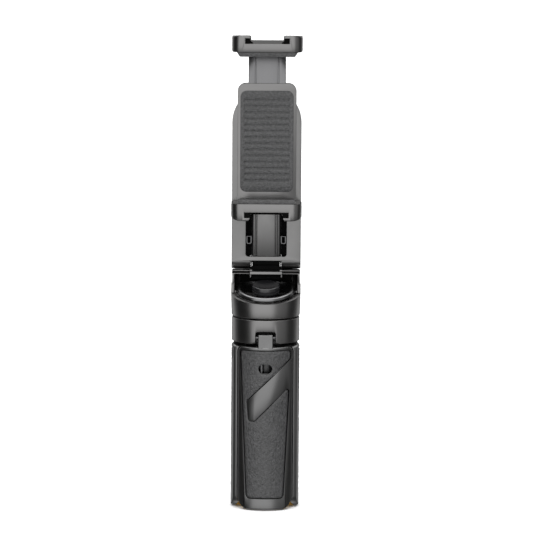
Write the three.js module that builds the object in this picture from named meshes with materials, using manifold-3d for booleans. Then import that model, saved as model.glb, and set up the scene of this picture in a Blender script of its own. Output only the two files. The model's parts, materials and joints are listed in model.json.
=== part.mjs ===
// A pocket tripod grip with a tilting phone clamp, in millimetres, +Z up.
// The origin is the centre of the folded feet. The front of the clamp and of the shutter pad faces -Y.

import * as THREE from "three";
import { mergeVertices } from "three/addons/utils/BufferGeometryUtils.js";
import Module from "manifold-3d";

const wasm = await Module();
wasm.setup();

// ---- Driving dimensions ----

const GAP = 0.3; // clearance between pieces that move past or rest on each other
const FIT = 0.05; // radial clearance of pieces seated in each other
const ROUND = 48; // sides of a full circle on large round pieces
const SMALL_ROUND = 16; // sides of a full circle on pins and screws

const GRIP_R = 16.5; // outer radius of the folded legs
const LEG_INNER_R = 8.6;
const LEG_HALF_ANGLE = 57.5; // each leg fills almost a third of the grip
const LEG_TOP = 79.9;
const LEG_LOW = 0.4; // the shell ends just above the rubber foot
const LEG_HINGE = { r: 12, z: 84 };
const LEG_PIN_HALF = 7.5;
const LEG_TAB_HALF = 3.5;
const LEG_NAMES = ["front", "right", "left"];

const HUB = { r: 16.35, wall: 14.4, low: 81.3, high: 92.9, bore: 7.6, notchHalf: 4.8 };
const NOTCH_TOP = 87; // the hub's notch for a leg's tab ends here
const TAB_ROOM_R = 4.6; // what a tab's round end turns in

const MAST = [
  { outer: 7.4, inner: 6.7, low: 6.0, high: 92.4 },
  { outer: 6.0, inner: 5.3, low: 9.0, high: 92.6 },
  { outer: 4.6, inner: 3.9, low: 12.0, high: 92.8 },
];
const BUSH_LENGTH = 8;
const GUIDE_LENGTH = 4;
const MAST_SIDES = 24;
const SLIDE = 0.12; // radial clearance of a sliding mast tube

const HEAD = { r: 16.5, flare: 0.3, low: 93.5, floor: 96.4, bore: 14.4, mouth: 15.5 }; // flared upwards
const LEDGE_Z = 108.4; // the collar's top beside the shutter pad
const HOOD_WALL = { side: 1.3, back: 1.4 };
const HOOD_RIB = { half: 11, front: 14.2, back: 15.6, high: 115 }; // behind the arm's barrel
const PAD_TILT = 13; // degrees that the shutter pad leans forward
const PAD = { r: 14.05, z: 105.7, button: 6.8, proud: 2.7 };
const HOOD = { half: 16.5, front: 6.5, back: 15.8, low: 112.4, high: 114.2 };

const TILT_AXIS = { y: 11.5, z: 118.8 };
const BARREL_R = 4.2;
const KNUCKLE = { r: 3.2, half: 6.7, neck: 1.6 }; // the neck under it is thin, so that the arm can tilt
const ARM = { half: 16.75, front: 7.3, back: 12.6 };
const POCKET = { half: 9.9, low: 120.8, high: 168, floor: 11.3 };

const COVER_SCREWS = { low: 134, high: 195.5 }; // heights
const TURN_Z = 185.8; // height of the clamp's turning axis
const PIVOT = { shaft: 3.0, flange: 5 };
const HINGE_PIN_R = 1.5;
const CLAMP = { half: 14.2, front: 3.0, back: 7.0, high: 205.5 };
const PHONE_GAP = { low: 149.6, high: 220.2, front: -6.1, back: 2.2 };
const JAW = {
  half: 17,
  front: -8.7,
  web: 4.2,
  slot: 2.5,
  lip: 1.6,
  crown: 1.7,
  slotHalf: 10.65,
  mouthHalf: 7.8,
  corner: 5,
};
const EAR_FALL = 0.1; // slope of a jaw's ears towards the back

// ---- Materials ----

const GRAPHITE = new THREE.MeshStandardMaterial({ color: 0x3c3c3e, roughness: 0.42, metalness: 0.5 });
const SHELL = new THREE.MeshStandardMaterial({ color: 0x2e2e30, roughness: 0.5, metalness: 0 });
const BLACK = new THREE.MeshStandardMaterial({ color: 0x121213, roughness: 0.55, metalness: 0 });
const RUBBER = new THREE.MeshStandardMaterial({ color: 0x2a2a2c, roughness: 0.9, metalness: 0 });
const STEEL = new THREE.MeshStandardMaterial({ color: 0x9a9a9c, roughness: 0.3, metalness: 1 });
const ALUMINIUM = new THREE.MeshStandardMaterial({ color: 0x6c6c70, roughness: 0.35, metalness: 1 });
const NYLON = new THREE.MeshStandardMaterial({ color: 0xb8b4aa, roughness: 0.6, metalness: 0 });
const AMBER = new THREE.MeshStandardMaterial({ color: 0xe2b23c, roughness: 0.7, metalness: 0 });
const BOARD = new THREE.MeshStandardMaterial({ color: 0x1d5a36, roughness: 0.6, metalness: 0 });

// ---- Solids ----

// A three.js geometry as a manifold solid.
function solid(geometry) {
  const bare = new THREE.BufferGeometry();
  const flat = geometry.index ? geometry.toNonIndexed() : geometry;
  bare.setAttribute("position", flat.getAttribute("position"));
  const merged = mergeVertices(bare, 1e-4);
  return new wasm.Manifold(
    new wasm.Mesh({
      numProp: 3,
      vertProperties: merged.attributes.position.array,
      triVerts: new Uint32Array(merged.index.array),
    }),
  );
}

// A manifold solid as a three.js geometry.
function geometryOf(made) {
  const mesh = made.getMesh();
  const geometry = new THREE.BufferGeometry();
  geometry.setAttribute("position", new THREE.BufferAttribute(new Float32Array(mesh.vertProperties), 3));
  geometry.setIndex(new THREE.BufferAttribute(new Uint32Array(mesh.triVerts), 1));
  const flat = geometry.toNonIndexed();
  flat.computeVertexNormals();
  return flat;
}

const union = (...solids) => solids.reduce((a, b) => a.add(b));

// A flat outline swept along one axis, between two values of that axis. An arc gets the given steps.
function sweep(outline, from, to, basis, steps = 8) {
  const geometry = new THREE.ExtrudeGeometry(outline, {
    depth: to - from,
    bevelEnabled: false,
    curveSegments: steps / 2,
  });
  geometry.translate(0, 0, from);
  geometry.applyMatrix4(basis);
  return solid(geometry);
}

const X = new THREE.Vector3(1, 0, 0);
const Y = new THREE.Vector3(0, 1, 0);
const Z = new THREE.Vector3(0, 0, 1);
const ALONG_X = new THREE.Matrix4().makeBasis(Y, Z, X); // outline in (y, z)
const ALONG_Y = new THREE.Matrix4().makeBasis(X, Z, Y.clone().negate()); // outline in (x, z)
const ALONG_Z = new THREE.Matrix4(); // outline in (x, y)

const alongX = (outline, from, to, steps) => sweep(outline, from, to, ALONG_X, steps);
const alongY = (outline, from, to, steps) => sweep(outline, -to, -from, ALONG_Y, steps);
const alongZ = (outline, from, to, steps) => sweep(outline, from, to, ALONG_Z, steps);

function polygon(points) {
  return new THREE.Shape(points.map(([a, b]) => new THREE.Vector2(a, b)));
}

function circle(r, a = 0, b = 0) {
  const shape = new THREE.Shape();
  shape.absarc(a, b, r, 0, Math.PI * 2, false);
  return shape;
}

function rectangle(a0, a1, b0, b1) {
  return polygon([
    [a0, b0],
    [a1, b0],
    [a1, b1],
    [a0, b1],
  ]);
}

// A rectangle with its own radius at each corner, from the low-low corner round.
function rounded(a0, a1, b0, b1, r0, r1 = r0, r2 = r0, r3 = r0) {
  const s = new THREE.Shape();
  s.moveTo(a0 + r0, b0);
  s.lineTo(a1 - r1, b0);
  if (r1) s.absarc(a1 - r1, b0 + r1, r1, -Math.PI / 2, 0, false);
  s.lineTo(a1, b1 - r2);
  if (r2) s.absarc(a1 - r2, b1 - r2, r2, 0, Math.PI / 2, false);
  s.lineTo(a0 + r3, b1);
  if (r3) s.absarc(a0 + r3, b1 - r3, r3, Math.PI / 2, Math.PI, false);
  s.lineTo(a0, b0 + r0);
  if (r0) s.absarc(a0 + r0, b0 + r0, r0, Math.PI, Math.PI * 1.5, false);
  return s;
}

const box = (x0, x1, y0, y1, z0, z1) => alongZ(rectangle(x0, x1, y0, y1), z0, z1);
const rod = (r, z0, z1, sides = ROUND) => alongZ(circle(r), z0, z1, sides);
const rodX = (r, y, z, x0, x1, sides = SMALL_ROUND) => alongX(circle(r, y, z), x0, x1, sides);
const rodY = (r, x, z, y0, y1, sides = SMALL_ROUND) => alongY(circle(r, x, z), y0, y1, sides);

// A profile of [radius, z] points turned about the Z axis.
function turned(profile, sides = ROUND) {
  const geometry = new THREE.LatheGeometry(
    profile.map(([r, z]) => new THREE.Vector2(r, z)),
    sides,
  );
  geometry.rotateX(Math.PI / 2);
  return solid(geometry);
}

// A ring about the Z axis.
function ring(inner, outer, z0, z1, sides = ROUND) {
  return turned(
    [
      [inner, z0],
      [outer, z0],
      [outer, z1],
      [inner, z1],
      [inner, z0],
    ],
    sides,
  );
}

// A slice of a ring about the -Y direction, with chamfered outer edges.
function sector(inner, outer, halfAngle, z0, z1, chamfer = 0, steps = 15) {
  const half = THREE.MathUtils.degToRad(halfAngle);
  const cut = chamfer / outer;
  const points = [];
  for (let i = 0; i <= steps; i++) {
    const a = -half + cut + ((half - cut) * 2 * i) / steps;
    points.push([outer * Math.sin(a), -outer * Math.cos(a)]);
  }
  if (chamfer) points.push([(outer - chamfer) * Math.sin(half), -(outer - chamfer) * Math.cos(half)]);
  for (let i = 0; i <= steps; i++) {
    const a = half - (half * 2 * i) / steps;
    points.push([inner * Math.sin(a), -inner * Math.cos(a)]);
  }
  if (chamfer) points.push([-(outer - chamfer) * Math.sin(half), -(outer - chamfer) * Math.cos(half)]);
  return alongZ(polygon(points), z0, z1);
}

// ---- The scene graph ----

const root = new THREE.Group();

function piece(name, made, material, parent = root) {
  const mesh = new THREE.Mesh(geometryOf(made), material);
  mesh.name = name;
  parent.add(mesh);
  return mesh;
}

// ---- Legs ----

// Outline of the leg seen from outside: flat top with small corners, feet with large soft corners.
function legOutline(inset = 0) {
  const half = 13.1 - inset;
  const foot = { across: 7, up: 5.6 };
  const shoulder = 3.2;
  const s = new THREE.Shape();
  s.moveTo(-half + foot.across, 0);
  s.lineTo(half - foot.across, 0);
  s.quadraticCurveTo(half - 0.8, 0.6, half, foot.up);
  s.lineTo(half, LEG_TOP - shoulder);
  s.absarc(half - shoulder, LEG_TOP - shoulder, shoulder, 0, Math.PI / 2, false);
  s.lineTo(-half + shoulder, LEG_TOP);
  s.absarc(-half + shoulder, LEG_TOP - shoulder, shoulder, Math.PI / 2, Math.PI, false);
  s.lineTo(-half, foot.up);
  s.quadraticCurveTo(-half + 0.8, 0.6, -half + foot.across, 0);
  return s;
}

// Outline of the grip pad seen from outside: it tapers to the foot, and a slanted bar of the leg crosses it.
function gripOutline(grow = 0) {
  const g = grow;
  return polygon([
    [-11.9 - g, 76.2],
    [-11.4 - g * 0.7, 77.4 + g * 0.7],
    [-10.2, 77.9 + g],
    [10.6, 77.9 + g],
    [11.8 + g * 0.7, 77.3 + g * 0.7],
    [12.1 + g, 76.0],
    [12.0 + g, 74.6],
    [11.6 + g * 0.7, 73.6 - g * 0.7],
    [-8.4 + g, 54.4 - g],
    [-9.2 + g, 53.0 - g * 0.4],
    [-8.6 + g, 46.6 + g * 0.3],
    [-7.6 + g * 0.8, 44.8 + g * 0.6],
    [-6.0 + g * 0.3, 43.9 + g],
    [-4.6 - g * 0.4, 44.3 + g * 0.9],
    [9.6 - g * 0.7, 58.0 + g],
    [10.6, 58.3 + g],
    [11.2 + g * 0.7, 57.4 + g * 0.5],
    [11.3 + g, 56.4],
    [9.0 + g, 8.2],
    [8.5 + g * 0.7, 6.7 - g * 0.7],
    [7.4, 6.2 - g],
    [-7.4, 6.2 - g],
    [-8.4 - g * 0.7, 6.7 - g * 0.7],
    [-8.9 - g, 8.2],
  ]);
}

const LANYARD = { z: 69.1, half: 3.3, r: 2.2 };

function lanyardHole() {
  const { z, half, r } = LANYARD;
  return alongY(rounded(-half, half, z - r, z + r, r - 0.01), -20, -8, 6);
}

// The tab that turns in the hub's notch.
function legTab() {
  const { r, z } = LEG_HINGE;
  const face = 16;
  const round = rodX(3.7, -r, z, -LEG_TAB_HALF, LEG_TAB_HALF, SMALL_ROUND);
  const front = alongX(
    polygon([
      [-LEG_INNER_R, LEG_TOP - 1],
      [-face, LEG_TOP - 1],
      [-face, z + 0.7],
      [-face + 0.9, z + 1.7],
      [-r, z + 3],
      [-LEG_INNER_R, z],
    ]),
    -LEG_TAB_HALF,
    LEG_TAB_HALF,
  );
  return union(front, round);
}

function legShell(pierced) {
  const { r, z } = LEG_HINGE;
  const half = LEG_HALF_ANGLE;
  let shell = sector(LEG_INNER_R, GRIP_R, half, LEG_LOW, LEG_TOP, 1.1);
  shell = shell.intersect(alongY(legOutline(), -20, 0, 4));
  const channel = sector(LEG_INNER_R - 1, 13.6, half - 10, 7, 74);
  const footPocket = sector(LEG_INNER_R - 1, 14.2, half + 5, -1, 4.9);
  const padBed = sector(14.9, 18, half, 0, 90).intersect(alongY(gripOutline(0.25), -20, 0));
  shell = shell.subtract(channel).subtract(footPocket).subtract(padBed);
  shell = shell.add(legTab()).subtract(rodX(1.6, -r, z, -9, 9));
  return pierced ? shell.subtract(lanyardHole()) : shell;
}

function legGrip(pierced) {
  const skin = sector(14.95, GRIP_R + 0.05, LEG_HALF_ANGLE, 0, 90);
  const grip = skin.intersect(alongY(gripOutline(), -20, 0));
  return pierced ? grip.subtract(lanyardHole()) : grip;
}

const legInnerCover = () => sector(LEG_INNER_R + 0.1, 9.8, LEG_HALF_ANGLE - 10.8, 7.3, 73.7);

function legFoot() {
  const ringPart = sector(LEG_INNER_R, 14.0, LEG_HALF_ANGLE - 1.5, 0, 4.7);
  return ringPart.intersect(alongY(legOutline(0.7), -20, 0, 6));
}

const lanyardBar = () => alongZ(circle(1.0, -1.9, -12), 64.5, 73.8, SMALL_ROUND);

function buildLegs() {
  LEG_NAMES.forEach((name, k) => {
    const leg = new THREE.Group();
    leg.rotation.z = (k * Math.PI * 2) / LEG_NAMES.length;
    root.add(leg);
    const pierced = name === "front";
    piece(`leg_shell_${name}`, legShell(pierced), SHELL, leg);
    piece(`leg_grip_${name}`, legGrip(pierced), RUBBER, leg);
    piece(`leg_inner_cover_${name}`, legInnerCover(), BLACK, leg);
    piece(`leg_foot_${name}`, legFoot(), AMBER, leg);
    const { r, z } = LEG_HINGE;
    piece(`leg_pin_${name}`, rodX(1.4, -r, z, -LEG_PIN_HALF, LEG_PIN_HALF), STEEL, leg);
    if (pierced) piece("lanyard_bar", lanyardBar(), STEEL, leg);
  });
}

// ---- Hub ----

// Turns a solid about Z to each leg's place, and joins the copies.
function atEachLeg(made) {
  return union(...LEG_NAMES.map((_, k) => made.rotate([0, 0, (k * 360) / LEG_NAMES.length])));
}

// The space that the leg tabs need to swing in.
function tabRoom() {
  const { r, z } = LEG_HINGE;
  const opening = box(-HUB.notchHalf, HUB.notchHalf, -18, -HUB.bore + 0.4, 78, NOTCH_TOP);
  const swing = rodX(TAB_ROOM_R, -r, z, -HUB.notchHalf, HUB.notchHalf, 32);
  return atEachLeg(union(opening, swing));
}

// The bevel under the hub's edge that a leg's top turns into when the leg is open.
function openLegRoom() {
  const bevel = polygon([
    [-HUB.r + 2, HUB.low - 0.1],
    [-HUB.r - 0.2, HUB.low + 2.1],
    [-HUB.r - 0.2, HUB.low - 0.1],
  ]);
  return atEachLeg(alongX(bevel, -12, 12));
}

function pinRoom() {
  const half = LEG_PIN_HALF + 0.2;
  return atEachLeg(rodX(1.5, -LEG_HINGE.r, LEG_HINGE.z, -half, half));
}

function buildHub() {
  const chamfer = 0.6;
  const body = turned([
    [HUB.bore, HUB.low],
    [HUB.r - chamfer, HUB.low],
    [HUB.r, HUB.low + chamfer],
    [HUB.r, HUB.high - 0.4],
    [HUB.r - 0.4, HUB.high],
    [HUB.wall, HUB.high],
    [HUB.wall, LEG_HINGE.z],
    [HUB.bore, LEG_HINGE.z],
    [HUB.bore, HUB.low],
  ]);
  piece("hub_body", body.subtract(tabRoom()).subtract(openLegRoom()).subtract(pinRoom()), GRAPHITE);

  const core = ring(HUB.bore, HUB.wall - 0.1, LEG_HINGE.z + 0.1, HUB.high - 0.3);
  piece("hub_core", core.subtract(tabRoom()).subtract(pinRoom()), BLACK);
}

// ---- Mast ----

// A ring of the mast, or a bush or guide between two of its tubes.
const sleeve = (inner, outer, z0, z1) => ring(inner, outer, z0, z1, MAST_SIDES);

function buildMast() {
  const [outer, middle, inner] = MAST;
  piece("mast_tube_outer", sleeve(outer.inner, outer.outer, outer.low, outer.high), ALUMINIUM);
  const plug = union(rod(outer.inner - FIT, 5.0, 8.6, MAST_SIDES), rod(8.2, 3.8, 5.7, MAST_SIDES));
  piece("mast_end_plug", plug, AMBER);
  const bushAt = (tube) => [tube.high - BUSH_LENGTH, tube.high];
  const guideAt = (tube) => [tube.low + 0.3, tube.low + GUIDE_LENGTH];
  piece("outer_tube_bush", sleeve(middle.outer + SLIDE, outer.inner - FIT, ...bushAt(outer)), NYLON);

  piece("stage_2_tube", sleeve(middle.inner, middle.outer, middle.low, middle.high), ALUMINIUM);
  piece("stage_2_guide", sleeve(middle.outer + FIT, outer.inner - SLIDE, ...guideAt(middle)), NYLON);
  piece("stage_2_bush", sleeve(inner.outer + SLIDE, middle.inner - FIT, ...bushAt(middle)), NYLON);

  piece("stage_3_tube", sleeve(inner.inner, inner.outer, inner.low, inner.high), ALUMINIUM);
  piece("stage_3_guide", sleeve(inner.outer + FIT, middle.inner - SLIDE, ...guideAt(inner)), NYLON);
  const spindle = union(
    rod(inner.inner - FIT, 84, 93, MAST_SIDES),
    rod(6.6, 92.85, 93.3, MAST_SIDES),
    rod(3.0, 92.85, 98.0, MAST_SIDES),
  );
  piece("pan_spindle", spindle, STEEL);
  piece("pan_nut", rod(5.2, 96.45, 97.85, 6).subtract(rod(3.1, 96, 98, MAST_SIDES)), STEEL);
}

// ---- Head ----

// A solid built flat about Z is leaned forward with the shutter pad, about the pad's centre.
function leaned(made) {
  return made.rotate([PAD_TILT, 0, 0]).translate([0, 0, PAD.z]);
}

function headHousing() {
  const chamfer = 0.5;
  const collar = turned([
    [0, HEAD.low],
    [HEAD.r - chamfer, HEAD.low],
    [HEAD.r, HEAD.low + chamfer],
    [HEAD.r + HEAD.flare, 104],
    [HEAD.r + HEAD.flare, 109],
    [0, 109],
  ]);
  const hood = alongZ(rounded(-HOOD.half, HOOD.half, 1, HOOD.back, 0, 0, 5.5, 5.5), 99, HOOD.high, 6);
  let body = union(collar, hood);
  // The front is cut down to the leaned plane of the pad, and the sides step up beside it.
  const frontCut = leaned(box(-20, 20, -30, 40, -1.05, 40)).intersect(box(-20, 20, -30, -1, 90, 130));
  const shoulderCut = box(-20, 20, -1.1, 1, LEDGE_Z, 130);
  const slope = alongX(
    polygon([
      [0.9, LEDGE_Z],
      [HOOD.front, HOOD.low],
      [HOOD.front, 130],
      [0.9, 130],
    ]),
    -20,
    20,
  );
  body = body.subtract(frontCut).subtract(shoulderCut).subtract(slope);
  // The bore for the pad, and the hollow under the hood.
  const bore = rod(HEAD.bore, HEAD.low - 1, LEDGE_Z);
  const inside = HOOD.half - HOOD_WALL.side;
  const hollow = box(-inside, inside, 0, HOOD.back - HOOD_WALL.back, 105, HOOD.low);
  const mouth = rod(HEAD.mouth, HEAD.floor + 2, LEDGE_Z).intersect(box(-20, 20, -20, 1, HEAD.low, LEDGE_Z));
  body = body.subtract(bore).subtract(mouth).subtract(hollow);
  body = body.add(box(-HOOD_RIB.half, HOOD_RIB.half, HOOD_RIB.front, HOOD_RIB.back, HOOD.low, HOOD_RIB.high));
  const seat = ring(12.7, HEAD.bore + 0.4, HEAD.floor, HEAD.floor + 1);
  return body.add(seat).add(tiltBlock());
}

// The block behind the shutter button that carries the middle knuckle of the tilt hinge.
function tiltBlock() {
  const { y, z } = TILT_AXIS;
  const front = 8.0;
  const grooves = [];
  let block = alongX(
    polygon([
      [front, 109.6],
      [HOOD.back - 1, 109.6],
      [HOOD.back - 1, HOOD.high],
      [y + KNUCKLE.neck, HOOD.high],
      [y + KNUCKLE.neck, z],
      [y - KNUCKLE.neck, z],
      [y - KNUCKLE.neck, HOOD.high + 0.1],
      [HOOD.front - 0.2, HOOD.high],
      [HOOD.front - 0.2, HOOD.low + 0.2],
      [front, HOOD.low - 0.4],
    ]),
    -KNUCKLE.half,
    KNUCKLE.half,
  );
  for (let k = 0; k < 3; k++) {
    const low = 109.9 + k * 0.8;
    grooves.push(box(-KNUCKLE.half + 0.6, KNUCKLE.half - 0.6, front - 1, front + 0.25, low, low + 0.4));
  }
  block = block.subtract(union(...grooves));
  // Below the hinge's washers the neck fills the gap in the arm's barrel.
  const rootHalf = KNUCKLE.half + 0.5;
  block = block.add(box(-rootHalf, rootHalf, y - KNUCKLE.neck, y + KNUCKLE.neck, HOOD.low, 115.4));
  return union(block, rodX(KNUCKLE.r, y, z, -KNUCKLE.half, KNUCKLE.half, 32));
}

function buildHead() {
  const { y, z } = TILT_AXIS;
  const housing = headHousing().subtract(rodX(1.6, y, z, -20, 20));
  piece("head_housing", housing, GRAPHITE);
  piece("head_base_plate", ring(3.2, HEAD.bore - 0.1, HEAD.low, HEAD.floor - 0.1), BLACK);

  // The shutter pad is a dished puck that leans forward, with its button proud in the middle.
  const dish = turned([
    [PAD.button + 0.35, -4.0],
    [PAD.r - 1.2, -4.0],
    [PAD.r - 1.2, -3.1],
    [PAD.r, -3.1],
    [PAD.r, -0.9],
    [PAD.r - 0.4, 0],
    [PAD.r - 1.6, 0.72],
    [PAD.r - 2.3, 0.3],
    [PAD.r - 3.4, -0.85],
    [PAD.r - 5.4, -1.75],
    [PAD.button + 0.35, -2.1],
    [PAD.button + 0.35, -4.0],
  ]);
  piece("remote_shell", leaned(dish), BLACK);
  const base = rod(PAD.r - 1.4, -6.4, -5.4).add(ring(PAD.r - 2.6, PAD.r - 1.4, -5.5, -4.1));
  piece("remote_base", leaned(base), BLACK);
  piece("remote_board", leaned(rod(PAD.r - 2.8, -5.3, -4.7, 32)), BOARD);
  piece("dome_switch", leaned(rod(3.0, -4.65, -4.25, 16)), STEEL);

  const button = turned([
    [0, -4.1 + 1.2],
    [PAD.button - 1, -4.1 + 1.2],
    [PAD.button, -2.6],
    [PAD.button, PAD.proud - 0.7],
    [PAD.button - 0.7, PAD.proud],
    [2.2, PAD.proud - 0.35],
    [0, PAD.proud - 0.4],
  ]);
  piece("shutter_button", leaned(button), BLACK);
}

// ---- Tilting arm ----

// The round space in the arm for the head's knuckle and its washers.
function knuckleRoom() {
  const { y, z } = TILT_AXIS;
  return rodX(KNUCKLE.r + GAP, y, z, -KNUCKLE.half - 0.7, KNUCKLE.half + 0.7, 32);
}

function armFrame() {
  const { y, z } = TILT_AXIS;
  const outline = new THREE.Shape();
  outline.moveTo(-ARM.half, z);
  outline.lineTo(ARM.half, z);
  outline.lineTo(ARM.half, TURN_Z);
  outline.absarc(0, TURN_Z, ARM.half, 0, Math.PI, false);
  outline.lineTo(-ARM.half, z);
  const plate = alongY(outline, ARM.front, ARM.back, 24);
  const barrel = rodX(BARREL_R, y, z, -ARM.half, ARM.half, 40);
  const pocket = alongY(
    rounded(-POCKET.half, POCKET.half, POCKET.low, POCKET.high, 1.2),
    ARM.front - 1,
    POCKET.floor,
    4,
  );
  // The middle of the barrel is open below and behind, for the neck of the head's knuckle.
  const reach = 12;
  const swingRoom = alongX(
    polygon([
      [y, z],
      [y - reach, z - 0.3],
      [y - reach, z - reach],
      [y + reach, z - reach],
      [y + reach, z + reach * 0.85],
    ]),
    -KNUCKLE.half - 0.7,
    KNUCKLE.half + 0.7,
  );
  return union(plate, barrel)
    .subtract(pocket)
    .subtract(swingRoom)
    .subtract(knuckleRoom())
    .subtract(rodX(1.6, y, z, -20, 20))
    .subtract(rodX(2.9, y, z, ARM.half - 1.2, 20))
    .subtract(rodX(2.9, y, z, -20, -ARM.half + 1.2))
    .subtract(rodY(PIVOT.flange + 0.2, 0, TURN_Z, 5, 14, 32));
}

function armSpine() {
  const face = ARM.front + 0.35;
  const back = POCKET.floor - 0.05;
  const half = [
    [0, face + 0.25],
    [4.35, face + 0.25],
    [4.35, face + 0.7],
    [4.6, face + 0.7],
    [4.6, face],
    [5.6, face],
    [6.9, face + 1.4],
    [6.9, back],
  ];
  const mirrored = half.slice(1).map(([x, y]) => [-x, y]);
  const profile = polygon([...half, ...mirrored.reverse()]);
  return alongZ(profile, POCKET.low + 0.15, POCKET.high - 0.15).subtract(knuckleRoom());
}

function buildArm() {
  const { y, z } = TILT_AXIS;
  piece("arm_frame", armFrame(), GRAPHITE);
  piece("arm_spine", armSpine(), GRAPHITE);

  const clip = alongY(rounded(7.05, 9.6, 126.8, 130.9, 0.8, 0.8, 0, 0), 8.2, POCKET.floor - 0.05, 4);
  const openClip = clip.subtract(box(7.6, 9.05, 8, 10.5, 127.4, 130.1));
  piece("arm_clip_left", openClip.mirror([1, 0, 0]), STEEL);
  piece("arm_clip_right", openClip, STEEL);

  // The back cover is a shallow tray held by two screws.
  const tray = alongY(rounded(-14, 14, 128, 200, 5), ARM.back + FIT, 15.6, 6);
  const hollow = alongY(rounded(-12.6, 12.6, 129.4, 198.6, 4), ARM.back, 14.2, 6);
  let cover = tray.subtract(hollow);
  for (const [name, z] of Object.entries(COVER_SCREWS)) {
    const post = rodY(2.6, 0, z, ARM.back + FIT, 14.3);
    const screwRoom = union(rodY(1.75, 0, z, 14.4, 16, 16), rodY(1.1, 0, z, 12, 16, 12));
    cover = cover.add(post).subtract(screwRoom);
    const screw = union(rodY(1.65, 0, z, 14.45, 15.4, 16), rodY(1.0, 0, z, ARM.back + 0.1, 14.5, 12));
    piece(`cover_screw_${name}`, screw.subtract(rodY(0.8, 0, z, 14.9, 16, 6)), STEEL);
  }
  piece("arm_back_cover", cover, BLACK);

  piece("hinge_pin", rodX(HINGE_PIN_R, y, z, -ARM.half + 1.3, ARM.half - 1.3), STEEL);
  const socket = rodX(1.3, y, z, ARM.half - 0.7, 20, 6);
  const cap = rodX(2.7, y, z, ARM.half - 1.15, ARM.half - 0.05).subtract(socket);
  const washerAt = KNUCKLE.half + 0.1;
  const washer = rodX(KNUCKLE.r, y, z, washerAt, washerAt + 0.5, 32).subtract(rodX(1.7, y, z, 0, 20));
  for (const [name, side] of Object.entries({ left: -1, right: 1 })) {
    const toSide = (made) => (side > 0 ? made : made.mirror([1, 0, 0]));
    piece(`hinge_cap_${name}`, toSide(cap), STEEL);
    piece(`hinge_washer_${name}`, toSide(washer), NYLON);
  }
}

// ---- Clamp ----

// Front view of a jaw with its contact face at z = 0 and its accessory slot open at the top.
function jawOutline() {
  const floor = JAW.web;
  const roof = JAW.web + JAW.slot;
  const top = roof + JAW.lip;
  const side = top - JAW.crown;
  const s = new THREE.Shape();
  s.moveTo(-JAW.half, 0.5);
  s.lineTo(-JAW.half + 0.5, 0);
  s.lineTo(JAW.half - 0.5, 0);
  s.lineTo(JAW.half, 0.5);
  s.lineTo(JAW.half, side);
  s.quadraticCurveTo(JAW.half - 4.2, top, JAW.mouthHalf + 0.8, top);
  s.lineTo(JAW.mouthHalf, roof);
  s.lineTo(JAW.slotHalf, roof);
  s.lineTo(JAW.slotHalf, floor);
  s.lineTo(-JAW.slotHalf, floor);
  s.lineTo(-JAW.slotHalf, roof);
  s.lineTo(-JAW.mouthHalf, roof);
  s.lineTo(-JAW.mouthHalf - 0.8, top);
  s.quadraticCurveTo(-JAW.half + 4.2, top, -JAW.half, side);
  s.lineTo(-JAW.half, 0.5);
  return s;
}

// A jaw with its contact face at z = 0, from the front to the back depth.
function jaw(back) {
  const profile = alongY(jawOutline(), JAW.front, back, 5);
  const r = JAW.corner;
  const plan = alongZ(rounded(-JAW.half, JAW.half, JAW.front, back, r, r, 2, 2), -1, 12, 6);
  // The ears fall towards the back, where two stops end the slot.
  const fall = (back - JAW.front) * EAR_FALL;
  const top = JAW.web + JAW.slot + JAW.lip;
  const above = alongX(
    polygon([
      [JAW.front, top],
      [back + 1, top - fall],
      [back + 1, 20],
      [JAW.front, 20],
    ]),
    -20,
    20,
  );
  const stop = box(JAW.mouthHalf, JAW.slotHalf + 0.1, back - 2, back, JAW.web - 0.1, top - fall);
  return profile.intersect(plan).add(stop).add(stop.mirror([1, 0, 0])).subtract(above);
}

// The rubber on a jaw's contact face, with a low hook in front of the phone.
function jawPad() {
  const { front, back } = PHONE_GAP;
  const plate = alongZ(rounded(-14, 14, front, back, 1), -1.25, -0.05, 3);
  const hook = alongY(
    polygon([
      [-14.6, -0.05],
      [-13.2, -2.1],
      [13.2, -2.1],
      [14.6, -0.05],
    ]),
    JAW.front + 0.5,
    front + 0.01,
  );
  return union(plate, hook);
}

const upsideDown = (made) => made.rotate([0, 180, 0]);

const RAIL = { half: 9, front: 4.0, back: 6.1, low: 166 };
const JAW_BACK = 11.3; // depth of the sliding jaw behind the clamp

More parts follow.
